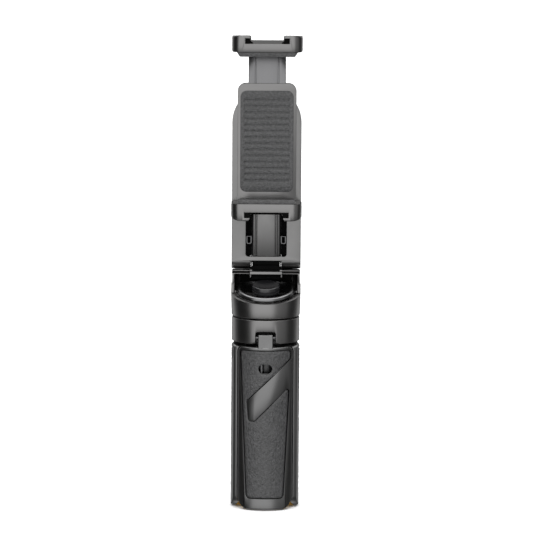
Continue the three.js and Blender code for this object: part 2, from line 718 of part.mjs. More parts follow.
function buildClamp() {
  const lowerFace = PHONE_GAP.low - 1.25;
  const lower = upsideDown(jaw(CLAMP.back)).translate([0, 0, lowerFace]);
  piece("lower_jaw", lower, GRAPHITE);
  piece("lower_jaw_pad", upsideDown(jawPad()).translate([0, 0, lowerFace]), RUBBER);

  const outline = rounded(-CLAMP.half, CLAMP.half, lowerFace + 0.1, CLAMP.high, 0, 0, 4, 4);
  const body = alongY(outline, CLAMP.front, CLAMP.back, 6);
  const channel = box(-RAIL.half - 0.2, RAIL.half + 0.2, RAIL.front - 0.2, RAIL.back + 0.2, 152, 210);
  const pivotRoom = rodY(PIVOT.shaft + 0.1, 0, TURN_Z, RAIL.back, 8, 32);
  piece("clamp_body", body.subtract(channel).subtract(pivotRoom), GRAPHITE);
  const padOutline = rounded(-12.8, 12.8, 153, 202, 3);
  piece("back_pad", alongY(padOutline, PHONE_GAP.back + 0.1, CLAMP.front - FIT, 5), RUBBER);

  const pivot = union(
    rodY(PIVOT.flange, 0, TURN_Z, CLAMP.back + FIT, 12.4, 32),
    rodY(PIVOT.shaft, 0, TURN_Z, RAIL.back + 0.35, 14.1, 32),
  );
  piece("clamp_pivot", pivot, STEEL);
  const ringY = (inner, outer, y0, y1, sides) =>
    rodY(outer, 0, TURN_Z, y0, y1, sides).subtract(rodY(inner, 0, TURN_Z, y0 - 1, y1 + 1, 32));
  piece("pivot_washer", ringY(PIVOT.shaft + 0.1, 6.6, 12.75, 13.15, 32), NYLON);
  piece("pivot_nut", ringY(PIVOT.shaft + 0.1, 5.2, 13.25, 14.1, 6), STEEL);
}

function buildSlidingJaw() {
  const face = PHONE_GAP.high + 1.25;
  piece("upper_jaw", jaw(JAW_BACK).translate([0, 0, face]), GRAPHITE);
  piece("upper_jaw_pad", jawPad().translate([0, 0, face]), RUBBER);
  const railOutline = rounded(-RAIL.half, RAIL.half, RAIL.low, face - 0.05, 1.5, 1.5, 0, 0);
  const rail = alongY(railOutline, RAIL.front, RAIL.back, 3);
  piece("jaw_rail", rail, ALUMINIUM);
}

buildLegs();
buildHub();
buildMast();
buildHead();
buildArm();
buildClamp();
buildSlidingJaw();

export default root;
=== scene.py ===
import json
import math

import bmesh
import bpy
from mathutils import Matrix, Quaternion, Vector, noise


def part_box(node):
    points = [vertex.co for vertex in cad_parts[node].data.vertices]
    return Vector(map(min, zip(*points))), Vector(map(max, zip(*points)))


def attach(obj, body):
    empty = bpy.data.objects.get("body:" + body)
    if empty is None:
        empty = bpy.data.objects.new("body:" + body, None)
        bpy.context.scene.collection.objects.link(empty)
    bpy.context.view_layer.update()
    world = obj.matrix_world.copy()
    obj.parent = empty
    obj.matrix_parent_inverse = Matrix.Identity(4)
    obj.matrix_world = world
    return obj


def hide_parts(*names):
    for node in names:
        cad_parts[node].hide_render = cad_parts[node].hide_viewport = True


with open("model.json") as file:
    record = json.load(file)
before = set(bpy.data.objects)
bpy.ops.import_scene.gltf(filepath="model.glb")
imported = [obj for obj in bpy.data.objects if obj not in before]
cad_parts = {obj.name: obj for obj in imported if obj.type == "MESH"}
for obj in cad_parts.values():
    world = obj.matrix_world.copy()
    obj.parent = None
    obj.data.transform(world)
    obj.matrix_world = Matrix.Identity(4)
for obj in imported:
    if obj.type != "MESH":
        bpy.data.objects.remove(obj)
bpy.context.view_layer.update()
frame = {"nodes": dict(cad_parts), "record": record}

MM = 0.001
BODY_OF = {n: b for b, nodes in frame["record"]["behaviour"]["bodies"].items() for n in nodes}
SLOT_OF = {s["node"]: s["material_slot"] for s in frame["record"]["subparts"]}


# ---- Camera, light and floor ----

def make_camera():
    """A long lens a little above the grip, turned by a hair, as a product photographer would frame it."""
    aim = Vector((0.00023, 0, 0.117))
    distance, elevation, roll = 2.4, math.radians(7.8), math.radians(0.38)
    data = bpy.data.cameras.new("camera")
    data.lens = 335.6
    data.sensor_width = 36
    data.clip_start = 0.1
    data.clip_end = 20
    camera = bpy.data.objects.new("camera", data)
    bpy.context.scene.collection.objects.link(camera)
    camera.location = aim + distance * Vector((0, -math.cos(elevation), math.sin(elevation)))
    look = (aim - camera.location).to_track_quat("-Z", "Y")
    camera.rotation_mode = "QUATERNION"
    camera.rotation_quaternion = look @ Quaternion((0, 0, 1), roll)
    bpy.context.scene.camera = camera


def make_light():
    """A studio as a world: a soft box in front, dark flags at the sides, light from behind, above and below.

    The camera itself sees white paper.
    """
    world = bpy.data.worlds.new("studio")
    bpy.context.scene.world = world
    world.use_nodes = True
    nodes, links = world.node_tree.nodes, world.node_tree.links

    def math_node(operation, first, second=None):
        made = nodes.new("ShaderNodeMath")
        made.operation = operation
        for socket, value in zip(made.inputs, (first, second)):
            if value is None:
                continue
            if isinstance(value, (int, float)):
                socket.default_value = value
            else:
                links.new(value, socket)
        return made.outputs["Value"]

    place = nodes.new("ShaderNodeTexCoord")
    split = nodes.new("ShaderNodeSeparateXYZ")
    links.new(place.outputs["Generated"], split.inputs["Vector"])
    x, y, z = (split.outputs[axis] for axis in "XYZ")
    azimuth = math_node("ARCTAN2", x, math_node("MULTIPLY", y, -1))
    turn = math_node("MULTIPLY_ADD", azimuth, 0.5 / math.pi)
    turn.node.inputs[2].default_value = 0.5
    around = nodes.new("ShaderNodeValToRGB")
    links.new(turn, around.inputs["Fac"])
    ramp = around.color_ramp
    ramp.interpolation = "EASE"
    for k, (degrees, level) in enumerate(AROUND):
        while len(ramp.elements) <= k:
            ramp.elements.new(1)
        ramp.elements[k].position = 0.5 + degrees / 360
        ramp.elements[k].color = (level, level, level, 1)

    def blended(low, high, under, over):
        """under below the height low, over above the height high."""
        fade = nodes.new("ShaderNodeMapRange")
        fade.interpolation_type = "SMOOTHSTEP"
        fade.inputs["From Min"].default_value = low
        fade.inputs["From Max"].default_value = high
        links.new(z, fade.inputs["Value"])
        mix = nodes.new("ShaderNodeMix")
        links.new(fade.outputs["Result"], mix.inputs["Factor"])
        for socket, value in ((mix.inputs["A"], under), (mix.inputs["B"], over)):
            if isinstance(value, float):
                socket.default_value = value
            else:
                links.new(value, socket)
        return mix.outputs["Result"]

    low = blended(-0.92, -0.75, UNDER, LOW)
    level = blended(0.68, 0.86, blended(-0.5, -0.27, low, around.outputs["Color"]), OVERHEAD)
    room = nodes.new("ShaderNodeBackground")
    links.new(level, room.inputs["Strength"])
    seen = nodes["Background"]
    seen.inputs["Color"].default_value = (1, 1, 1, 1)
    path = nodes.new("ShaderNodeLightPath")
    mix = nodes.new("ShaderNodeMixShader")
    links.new(path.outputs["Is Camera Ray"], mix.inputs["Fac"])
    links.new(room.outputs["Background"], mix.inputs[1])
    links.new(seen.outputs["Background"], mix.inputs[2])
    links.new(mix.outputs["Shader"], nodes["World Output"].inputs["Surface"])
    bpy.context.scene.view_settings.view_transform = "Standard"


# The studio's brightness round the horizon, in degrees from the camera's side, and below and above.
AROUND = [
    (-180, 0.35), (-158, 0.5), (-140, 1.3), (-120, 0.35), (-104, 0.06), (-58, 0.06), (-40, 2.4), (20, 2.4),
    (36, 0.75), (70, 0.6), (84, 0.12), (106, 0.1), (124, 0.4), (140, 1.2), (160, 0.5), (180, 0.35),
]
UNDER, LOW, OVERHEAD = 1.5, 0.2, 4.0


def make_floor():
    half = 3.0
    mesh = bpy.data.meshes.new("floor")
    square = [(-half, -half, 0), (half, -half, 0), (half, half, 0), (-half, half, 0)]
    mesh.from_pydata(square, [], [(0, 1, 2, 3)])
    floor = bpy.data.objects.new("floor", mesh)
    bpy.context.scene.collection.objects.link(floor)
    material = bpy.data.materials.new("pale_floor")
    material.use_nodes = True
    shader = material.node_tree.nodes["Principled BSDF"]
    shader.inputs["Base Color"].default_value = (0.9, 0.9, 0.9, 1)
    shader.inputs["Roughness"].default_value = 0.9
    mesh.materials.append(material)
    floor.visible_glossy = False


# ---- Materials ----

# Patches of more and less gloss: their texture scale, and how far roughness strays either way.
GLOSS_SCALE, GLOSS_SPREAD = 220, 0.15


def grained(name, colour, rough, metal=0.0, grain=(900, 0.02), vary=0.15, clouds=60, stretch=(1, 1, 1)):
    """A moulded, painted or turned surface: colour and gloss vary a little, and a fine grain is its bump.

    grain is the texture scale and the depth in millimetres. clouds is the scale of the colour variation.
    """
    material = bpy.data.materials.new(name)
    material.use_nodes = True
    nodes, links = material.node_tree.nodes, material.node_tree.links
    shader = nodes["Principled BSDF"]
    shader.inputs["Metallic"].default_value = metal
    place = nodes.new("ShaderNodeTexCoord")
    mapping = nodes.new("ShaderNodeMapping")
    mapping.inputs["Scale"].default_value = stretch
    links.new(place.outputs["Object"], mapping.inputs["Vector"])

    def clouded(scale, detail):
        made = nodes.new("ShaderNodeTexNoise")
        made.inputs["Scale"].default_value = scale
        made.inputs["Detail"].default_value = detail
        links.new(mapping.outputs["Vector"], made.inputs["Vector"])
        return made.outputs["Fac"]

    tint = nodes.new("ShaderNodeMix")
    tint.data_type = "RGBA"
    tint.inputs["A"].default_value = (*[c * (1 - vary) for c in colour], 1)
    tint.inputs["B"].default_value = (*[c * (1 + vary) for c in colour], 1)
    links.new(clouded(clouds, 4), tint.inputs["Factor"])
    links.new(tint.outputs["Result"], shader.inputs["Base Color"])
    gloss = nodes.new("ShaderNodeMapRange")
    gloss.inputs["To Min"].default_value = rough * (1 - GLOSS_SPREAD)
    gloss.inputs["To Max"].default_value = rough * (1 + GLOSS_SPREAD)
    links.new(clouded(GLOSS_SCALE, 3), gloss.inputs["Value"])
    links.new(gloss.outputs["Result"], shader.inputs["Roughness"])
    bump = nodes.new("ShaderNodeBump")
    bump.inputs["Strength"].default_value = 1.0
    bump.inputs["Distance"].default_value = grain[1] * MM
    links.new(clouded(grain[0], 2), bump.inputs["Height"])
    links.new(bump.outputs["Normal"], shader.inputs["Normal"])
    return material


MATERIALS = {
    "housing_plastic": grained("satin_graphite", (0.155, 0.153, 0.152), 0.3, metal=1, grain=(3000, 0.012),
                               stretch=(0.03, 0.03, 1)),
    "arm_metal": grained("satin_grey_metal", (0.15, 0.149, 0.148), 0.32, metal=1, grain=(2600, 0.006)),
    "leg_plastic": grained("leg_graphite", (0.13, 0.13, 0.13), 0.32, metal=1, grain=(2600, 0.006)),
    "grip_rubber": grained("leathery_rubber", (0.038, 0.038, 0.039), 0.42, grain=(1300, 0.3),
                           vary=0.95, clouds=800),
    "foot_rubber": grained("amber_rubber", (0.62, 0.36, 0.05), 0.7, grain=(1500, 0.02)),
    "black_plastic": grained("matte_black", (0.01, 0.01, 0.011), 0.3, grain=(2600, 0.003)),
    "button_plastic": grained("satin_black", (0.008, 0.008, 0.009), 0.2, grain=(2600, 0.002)),
    "steel": grained("black_oxide_steel", (0.11, 0.11, 0.112), 0.3, metal=1, grain=(1800, 0.008)),
    "tube_aluminium": grained("drawn_aluminium", (0.15, 0.15, 0.153), 0.33, metal=1, stretch=(1, 1, 0.05)),
    "nylon": grained("black_nylon", (0.02, 0.02, 0.021), 0.5),
    "gloss": grained("gloss_black", (0.15, 0.15, 0.152), 0.24, metal=1, grain=(2600, 0.001)),
    # Painted shade: a near-black, almost unreflecting finish for the skins and the block that stand in for shadow
    # in recesses.
    "painted_shade": grained("matt_painted_shade", (0.003, 0.003, 0.003), 0.8, grain=(2600, 0.02)),
    "circuit_board": grained("solder_mask", (0.01, 0.12, 0.04), 0.35),
}
# The painted-shade finish has almost no specular, so what stands in for shadow stays dark under the studio light.
MATERIALS["painted_shade"].node_tree.nodes["Principled BSDF"].inputs["Specular IOR Level"].default_value = 0.05


# ---- Solids in millimetres, joined and cut with booleans ----

def mesh_of(verts, faces):
    mesh = bpy.data.meshes.new("solid")
    mesh.from_pydata([tuple(v) for v in verts], [], faces)
    bm = bmesh.new()
    bm.from_mesh(mesh)
    bmesh.ops.recalc_face_normals(bm, faces=bm.faces)
    bm.to_mesh(mesh)
    bm.free()
    return mesh


AXES = {
    "X": lambda a, b, c: (c, a, b),
    "Y": lambda a, b, c: (a, c, b),
    "Z": lambda a, b, c: (a, b, c),
}


def prism(outline, axis, low, high, soft=0.0, steps=3):
    """An outline of (a, b) points swept along an axis. soft rounds the edges at both ends."""
    layers = [(low, 0.0), (high, 0.0)]
    if soft:
        turns = [math.pi / 2 * i / steps for i in range(steps + 1)]
        ends = [(soft * (1 - math.sin(t)), soft * (1 - math.cos(t))) for t in turns]
        layers = [(low + c, -i) for i, c in ends] + [(high - c, -i) for i, c in reversed(ends)]
    n = len(outline)
    rings = [(offset(outline, inset) if inset else outline, c) for c, inset in layers]
    verts = [AXES[axis](a, b, c) for ring, c in rings for a, b in ring]
    faces = [tuple(range(n)), tuple(range((len(rings) - 1) * n, len(rings) * n))]
    for k in range(len(rings) - 1):
        for i in range(n):
            j = (i + 1) % n
            faces.append((k * n + i, k * n + j, (k + 1) * n + j, (k + 1) * n + i))
    return mesh_of(verts, faces)


def offset(outline, grow):
    """The outline moved outwards by grow, or inwards where that is negative."""
    area = sum(a[0] * b[1] - b[0] * a[1] for a, b in zip(outline, outline[1:] + outline[:1]))
    side = 1 if area > 0 else -1
    moved = []
    for before, here, after in zip(outline[-1:] + outline[:-1], outline, outline[1:] + outline[:1]):
        d1 = Vector(here) - Vector(before)
        d2 = Vector(after) - Vector(here)
        n1 = Vector((d1.y, -d1.x)).normalized() * side
        n2 = Vector((d2.y, -d2.x)).normalized() * side
        middle = (n1 + n2).normalized()
        moved.append(tuple(Vector(here) + middle * grow / max(0.5, middle.dot(n1))))
    return moved


def lathe(profile, sides=144):
    """A closed profile of (radius, z) points turned about the Z axis."""
    verts, faces, rings = [], [], []
    for r, z in profile:
        if r < 1e-6:
            rings.append([len(verts)] * sides)
            verts.append((0, 0, z))
        else:
            rings.append(list(range(len(verts), len(verts) + sides)))
            verts += [(r * math.sin(t), -r * math.cos(t), z) for t in spread(sides)]
    pairs = list(zip(rings, rings[1:] + rings[:1]))
    for lower, upper in pairs:
        for i in range(sides):
            j = (i + 1) % sides
            face = [lower[i], lower[j], upper[j], upper[i]]
            face = [v for k, v in enumerate(face) if v != face[k - 1]]
            if len(face) > 2:
                faces.append(tuple(face))
    return mesh_of(verts, faces)


def spread(count):
    return [2 * math.pi * i / count for i in range(count)]


def arc(a, b, r, start, end, steps=6):
    """Points of an arc about (a, b), from one angle to another, in degrees."""
    turns = [math.radians(start + (end - start) * i / steps) for i in range(steps + 1)]
    return [(a + r * math.cos(t), b + r * math.sin(t)) for t in turns]


def rounded(a0, a1, b0, b1, *radii, steps=6):
    """A rectangle with a radius for each corner, from the low-low corner round, or one for all."""
    r0, r1, r2, r3 = radii * 4 if len(radii) == 1 else radii
    return (
        arc(a0 + r0, b0 + r0, r0, 180, 270, steps)
        + arc(a1 - r1, b0 + r1, r1, -90, 0, steps)
        + arc(a1 - r2, b1 - r2, r2, 0, 90, steps)
        + arc(a0 + r3, b1 - r3, r3, 90, 180, steps)
    )


def circle(a, b, r, sides=48):
    return [(a + r * math.cos(t), b + r * math.sin(t)) for t in spread(sides)]


def box(x0, x1, y0, y1, z0, z1):
    return prism([(x0, y0), (x1, y0), (x1, y1), (x0, y1)], "Z", z0, z1)


def turned(mesh, axis, degrees, about=(0, 0, 0)):
    """The mesh turned about an axis through a point. The mesh itself changes."""
    to = Matrix.Translation(about)
    mesh.transform(to @ Matrix.Rotation(math.radians(degrees), 4, axis) @ to.inverted())
    return mesh


def moved(mesh, x=0, y=0, z=0):
    mesh.transform(Matrix.Translation((x, y, z)))
    return mesh


def mirrored(mesh):
    """A copy of the mesh mirrored left to right."""
    copy = mesh.copy()
    copy.transform(Matrix.Scale(-1, 4, (1, 0, 0)))
    copy.flip_normals()
    return copy


def combine(operation, first, *others):
    """The boolean of the first mesh with each of the others in turn."""
    collection = bpy.context.scene.collection
    base = bpy.data.objects.new("base", first)
    collection.objects.link(base)
    tools = [bpy.data.objects.new("tool", mesh) for mesh in others]
    for tool in tools:
        collection.objects.link(tool)
        modifier = base.modifiers.new("boolean", "BOOLEAN")
        modifier.operation = operation
        modifier.solver = "MANIFOLD"
        modifier.object = tool
    bpy.context.view_layer.update()
    made = bpy.data.meshes.new_from_object(base.evaluated_get(bpy.context.evaluated_depsgraph_get()))
    for made_object in [base, *tools]:
        bpy.data.objects.remove(made_object)
    return made


def cut(first, *others):
    return combine("DIFFERENCE", first, *others)


def join(first, *others):
    return combine("UNION", first, *others)


def common(first, *others):
    return combine("INTERSECT", first, *others)


def show(name, mesh, body, slot, nodes, soft=0.0, sharp=32, segments=2, finish=None):
    """Makes a finished piece of a solid: soft edges, shading, material, body, and the CAD nodes it stands for."""
    bm = bmesh.new()
    bm.from_mesh(mesh)
    bmesh.ops.remove_doubles(bm, verts=bm.verts, dist=0.004)
    bmesh.ops.dissolve_limit(bm, angle_limit=math.radians(0.4), verts=bm.verts, edges=bm.edges)
    if soft:
        edges = [e for e in bm.edges if e.is_manifold and e.calc_face_angle(0) > math.radians(sharp)]
        bmesh.ops.bevel(bm, geom=edges, offset=soft, segments=segments, profile=0.5, affect="EDGES",
                        clamp_overlap=False)
        bmesh.ops.remove_doubles(bm, verts=bm.verts, dist=0.004)
    bmesh.ops.scale(bm, vec=(MM, MM, MM), verts=bm.verts)
    made = bpy.data.meshes.new(name)
    bm.to_mesh(made)
    bm.free()
    made.shade_smooth()
    made.set_sharp_from_angle(angle=math.radians(sharp))
    made.materials.append(MATERIALS[finish or slot])
    piece = bpy.data.objects.new(name, made)
    bpy.context.scene.collection.objects.link(piece)
    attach(piece, body)
    if nodes:
        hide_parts(*nodes)
    return piece


# ---- Measures taken from the frame, in millimetres ----

def corners(node):
    low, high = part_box(node)
    return low / MM, high / MM


HUB_LOW, HUB_HIGH = (c.z for c in corners("hub_body"))
HUB_R = 16.35
HEAD_LOW, HEAD_R, HEAD_FLARE = corners("head_housing")[0].z, 16.5, 0.3
LEG_R = -corners("leg_shell_front")[0].y
LEG_LOW = corners("leg_shell_front")[0].z
LEG_TOP = HUB_LOW - 1.4
LEG_INNER_R, LEG_HALF = 8.6, 57.5
HINGE_R = -sum(c.y for c in corners("leg_pin_front")) / 2
HINGE_Z = sum(c.z for c in corners("leg_pin_front")) / 2
TILT_Y = sum(c.y for c in corners("hinge_pin")) / 2
TILT_Z = sum(c.z for c in corners("hinge_pin")) / 2
TURN_Z = sum(c.z for c in corners("clamp_pivot")) / 2
LEGS = {"front": 0, "right": 120, "left": 240}
FINE = 192  # sides of the large round solids
FAR = 20  # past the part in any direction, for cuts that go right through
PIN_BORE_R = 1.6


# ---- Legs ----

def sector(inner, outer, half, corner=0.0, steps=44):
    """A slice of a ring about the -Y direction, its outer corners rounded."""
    def at(r, degrees):
        t = math.radians(degrees)
        return Vector((r * math.sin(t), -r * math.cos(t)))
    trim = math.degrees(corner / outer)
    wide = half - trim
    out = [at(outer, -wide + 2 * wide * i / steps) for i in range(steps + 1)]
    back = [at(inner, half - 2 * half * i / 24) for i in range(25)]
    if corner:
        for side, ends in ((1, out), (-1, back)):
            start, middle = at(outer, side * wide), at(outer, side * half)
            end = at(outer - corner, side * half)
            if side < 0:
                start, end = end, start
            curve = [start.lerp(middle, t).lerp(middle.lerp(end, t), t) for t in (0.25, 0.5, 0.75)]
            ends += curve + [end] if side > 0 else [start, *curve]
    return [tuple(p) for p in out + back]


def leg_outline():
    """A leg seen from outside: cut corners at the foot, round shoulders at the top."""
    half, across, up, shoulder = 13.1, 7, 5.6, 3.2
    def corner(side):
        a = Vector((side * half, up))
        b = Vector((side * (half - 0.8), 0.6))
        c = Vector((side * (half - across), 0))
        steps = (0, 0.1, 0.2, 0.3, 0.4, 0.5, 0.6, 0.7, 0.8, 0.9, 1)
        return [tuple(a.lerp(b, t).lerp(b.lerp(c, t), t)) for t in steps]
    top = LEG_TOP - shoulder
    return (
        corner(-1)
        + corner(1)[::-1]
        + arc(half - shoulder, top, shoulder, 0, 90)
        + arc(-half + shoulder, top, shoulder, 90, 180)
    )


def grip_outline(grow=0.0):
    """The pad seen from outside: it tapers to the foot, and a slanted bar of the leg crosses it."""
    corners_of_pad = [
        ((-12.0, 77.9), 1.6),
        ((12.2, 77.9), 2.2),
        ((12.0, 73.9), 0.8),
        ((-9.3, 53.6), 1.3),
        ((-8.4, 43.6), 2.4),
        ((-5.2, 43.6), 1.4),
        ((10.5, 59.0), 0.9),
        ((11.4, 58.2), 0.5),
        ((8.9, 6.1), 2.0),
        ((-8.9, 6.1), 2.0),
    ]
    outline = fillet(corners_of_pad)
    return offset(outline, grow) if grow else outline


def fillet(corners_with_radii, steps=5):
    """A polygon whose corners are rounded, each by its own radius."""
    points = []
    count = len(corners_with_radii)
    for k, (corner, r) in enumerate(corners_with_radii):
        here = Vector(corner)
        before = Vector(corners_with_radii[k - 1][0])
        after = Vector(corners_with_radii[(k + 1) % count][0])
        u, v = (before - here).normalized(), (after - here).normalized()
        reach = min(r / math.tan(u.angle(v) / 2), 0.45 * (before - here).length, 0.45 * (after - here).length)
        a, b = here + u * reach, here + v * reach
        for i in range(steps + 1):
            t = i / steps
            points.append(tuple(a.lerp(here, t).lerp(here.lerp(b, t), t)))
    return points


LANYARD = {"z": 69.1, "half": 3.3, "r": 2.19}


def lanyard_hole(grow=0.0):
    z, half, r = LANYARD["z"], LANYARD["half"], LANYARD["r"]
    return rounded(-half - grow, half + grow, z - r - grow, z + r + grow, r + grow - 0.01, steps=8)


def leg_shell(pierced):
    rim, foot_rim = 1.3, 0.9
    channel_r, channel_low, channel_high = 13.6, 7, 74
    pocket_r, pocket_high = 14.2, 4.9
    shell = prism(sector(LEG_INNER_R, LEG_R, LEG_HALF, 1.2), "Z", LEG_LOW, LEG_TOP)
    barrel = lathe(
        [(0, LEG_LOW)]
        + arc(LEG_R - foot_rim + 0.01, LEG_LOW + foot_rim, foot_rim, -90, 0)
        + arc(LEG_R - rim + 0.01, LEG_TOP - rim, rim, 0, 90)
        + [(0, LEG_TOP)],
        sides=180,
    )
    shell = common(shell, barrel, prism(leg_outline(), "Y", -FAR, 0))
    plan = sector(LEG_INNER_R - 1, channel_r, LEG_HALF - 10, steps=24)
    channel = prism(plan, "Z", channel_low, channel_high)
    foot_pocket = prism(sector(LEG_INNER_R - 1, pocket_r, LEG_HALF + 5, steps=24), "Z", -1, pocket_high)
    bed = common(
        prism(sector(14.9, 18, LEG_HALF), "Z", 0, 90),
        prism(grip_outline(0.3), "Y", -FAR, 0),
    )
    shell = join(cut(shell, channel, foot_pocket, bed), leg_tab())
    holes = [prism(circle(-HINGE_R, HINGE_Z, PIN_BORE_R, 24), "X", -9, 9)]
    if pierced:
        holes.append(prism(lanyard_hole(), "Y", -FAR, -8))
    return cut(shell, *holes)


def leg_tab():
    half, face = 3.5, 16.0
    front = fillet([
        ((-LEG_INNER_R, LEG_TOP - 1), 0.1),
        ((-face, LEG_TOP - 1), 0.1),
        ((-face, HINGE_Z + 1.7), 1.0),
        ((-HINGE_R, HINGE_Z + 3.2), 1.0),
        ((-LEG_INNER_R, HINGE_Z), 1.0),
    ])
    return join(
        prism(front, "X", -half, half, soft=0.35),
        prism(circle(-HINGE_R, HINGE_Z, 3.7), "X", -half, half, soft=0.35),
    )


def grip_pad(pierced, seed):
    """A rubber pad with a leathery grain: a fine grid lifted by noise, and turned down at the pad's edge."""
    inner, outer, pitch = 14.95, LEG_R + 0.05, 0.27
    low, high = (c.z for c in corners("leg_grip_front"))
    half = 49.5
    across, along = round(math.radians(2 * half) * outer / pitch), round((high - low + 1) / pitch)
    verts = []
    for r in (inner, outer):
        for j in range(along + 1):
            z = low - 0.5 + (high - low + 1) * j / along
            for i in range(across + 1):
                t = math.radians(-half + 2 * half * i / across)
                verts.append((r * math.sin(t), -r * math.cos(t), z))
    row, layer = across + 1, (across + 1) * (along + 1)
    at = lambda s, i, j: s * layer + j * row + i
    faces = []
    for i in range(across):
        for j in range(along):
            faces.append((at(1, i, j), at(1, i + 1, j), at(1, i + 1, j + 1), at(1, i, j + 1)))
    # The back of the slab is one row of strips, as it only lies on the leg.
    for i in range(across):
        faces.append(tuple([at(0, i, 0), at(0, i, along), at(0, i + 1, along), at(0, i + 1, 0)]))
    for i in range(across):
        faces.append((at(0, i, 0), at(0, i + 1, 0), at(1, i + 1, 0), at(1, i, 0)))
        faces.append((at(0, i, along), at(1, i, along), at(1, i + 1, along), at(0, i + 1, along)))
    side = [at(1, 0, j) for j in range(along + 1)]
    faces.append(tuple([at(0, 0, along), at(0, 0, 0), *side]))
    side = [at(1, across, j) for j in range(along + 1)]
    faces.append(tuple([at(0, across, 0), at(0, across, along), *side[::-1]]))
    slab = mesh_of(verts, faces)
    bm = bmesh.new()
    bm.from_mesh(slab)
    bmesh.ops.delete(bm, geom=[v for v in bm.verts if not v.link_faces], context="VERTS")
    bm.to_mesh(slab)
    bm.free()
    outlines = [grip_outline()]
    pad = common(slab, prism(outlines[0], "Y", -FAR, 0))
    if pierced:
        outlines.append(lanyard_hole(0.15))
        pad = cut(pad, prism(outlines[1], "Y", -FAR, -8))
    for vertex in pad.vertices:
        x, y, z = vertex.co
        r = math.hypot(x, y)
        if r < outer - 0.05:
            continue
        near = min(distance_to(outline, x, z) for outline in outlines)
        fall = 0.45 * (1 - min(1.0, near / 0.9)) ** 2
        p = Vector((x, y, z + seed))
        cells = noise.voronoi(p * 1.1)[0]
        grain = 0.26 * (cells[1] - cells[0]) + 0.14 * noise.noise(p * 2.4) - 0.16
        lift = grain * min(1.0, near / 0.6) - fall
        vertex.co = Vector((x, y, 0)) * ((r + lift) / r) + Vector((0, 0, z))
    return pad


def distance_to(outline, a, b):
    """The distance from a point to an outline."""
    best = 1e9
    px, pz = outline[-1]
    for qx, qz in outline:
        dx, dz = qx - px, qz - pz
        t = ((a - px) * dx + (b - pz) * dz) / (dx * dx + dz * dz + 1e-12)
        t = min(1.0, max(0.0, t))
        best = min(best, (a - px - t * dx) ** 2 + (b - pz - t * dz) ** 2)
        px, pz = qx, qz
    return math.sqrt(best)


def leg_foot():
    """A rubber foot set well inside the leg's cut corners."""
    ring = prism(sector(LEG_INNER_R + 0.3, 13.9, LEG_HALF - 1, steps=24), "Z", 0, 4.7)
    return common(ring, prism([(-5, -1), (5, -1), (9.5, 4), (9.5, 6), (-9.5, 6), (-9.5, 4)], "Y", -FAR, 0))


def build_legs():
    for name, angle in LEGS.items():
        pierced = name == "front"
        body = f"leg_{name}"
        shell = turned(leg_shell(pierced), "Z", angle)
        show(f"shell_{name}", shell, body, "leg_plastic", [f"leg_shell_{name}"], soft=0.2)
        foot = turned(leg_foot(), "Z", angle)
        show(f"foot_{name}", foot, body, "foot_rubber", [f"leg_foot_{name}"], soft=0.3)
        pad = turned(grip_pad(pierced, angle), "Z", angle)
        show(f"grip_{name}", pad, body, "grip_rubber", [f"leg_grip_{name}"], sharp=60)


# ---- Hub ----

def at_each_leg(mesh):
    """Three copies of a solid, one at each leg."""
    return [turned(mesh.copy(), "Z", angle) for angle in LEGS.values()]


def loft(outline, wider, axis, low, high):
    """A solid between two outlines of as many points each, at two values of an axis."""
    n = len(outline)
    verts = [AXES[axis](a, b, low) for a, b in outline] + [AXES[axis](a, b, high) for a, b in wider]
    faces = [tuple(range(n)), tuple(range(n, 2 * n))]
    faces += [(i, (i + 1) % n, n + (i + 1) % n, n + i) for i in range(n)]
    return mesh_of(verts, faces)


def build_hub():
    bore, wall, edge = 7.6, 14.4, 0.55
    profile = (
        [(bore, HUB_LOW)]
        + arc(HUB_R - edge, HUB_LOW + edge, edge, -90, 0, 4)
        + arc(HUB_R - edge, HUB_HIGH - edge, edge, 0, 90, 4)
        + [(wall, HUB_HIGH), (wall, HINGE_Z), (bore, HINGE_Z)]
    )
    hub = lathe(profile, sides=FINE)
    half, top, lead = 4.8, 87.0, 0.55
    tab_room_r, pin_r = 4.6, 1.5
    notch = rounded(-half, half, 70, top, 0.1, 0.1, 0.9, 0.9)
    mouth = loft(offset(notch, lead * 1.6), notch, "Y", -16.9, -15.1)
    tools = at_each_leg(join(prism(notch, "Y", -18, -7.2), mouth))
    tools += at_each_leg(prism(circle(-HINGE_R, HINGE_Z, tab_room_r), "X", -half, half))
    tools += at_each_leg(prism(circle(-HINGE_R, HINGE_Z, pin_r, 24), "X", -7.7, 7.7))
    bevel = [(-HUB_R + 2, HUB_LOW - 0.1), (-HUB_R - 0.2, HUB_LOW + 2.1), (-HUB_R - 0.2, HUB_LOW - 0.1)]
    tools += at_each_leg(prism(bevel, "X", -12, 12))
    show("hub", cut(hub, *tools), "base", "housing_plastic", ["hub_body"], soft=0.12)


# ---- Mast ----

def sleeve(inner, outer, low, high, edge=0.12):
    """A tube with softened ends."""
    return lathe([
        (inner, low + edge), (inner + edge, low), (outer - edge, low), (outer, low + edge),
        (outer, high - edge), (outer - edge, high), (inner + edge, high), (inner, high - edge),
    ], sides=96)


def build_mast():
    wall = 0.7
    for node in ("mast_tube_outer", "stage_2_tube", "stage_3_tube"):
        low, high = corners(node)
        tube = sleeve(high.x - wall, high.x, low.z, high.z)
        show(f"{node}_drawn", tube, BODY_OF[node], "tube_aluminium", [node])


# ---- Head ----

PAD_LEAN, PAD_Z, PAD_R, BUTTON_HOLE_R = 13, 105.7, 14.05, 7.15
HOOD_HALF, HOOD_FRONT, HOOD_LOW, HOOD_HIGH = 16.5, 6.5, 112.4, 114.2
KNUCKLE_R, KNUCKLE_HALF, KNUCKLE_NECK = 3.2, 6.7, 1.6


def leaned(mesh):
    """A solid built flat about Z, leaned forward with the shutter pad."""
    return moved(turned(mesh, "X", PAD_LEAN), z=PAD_Z)


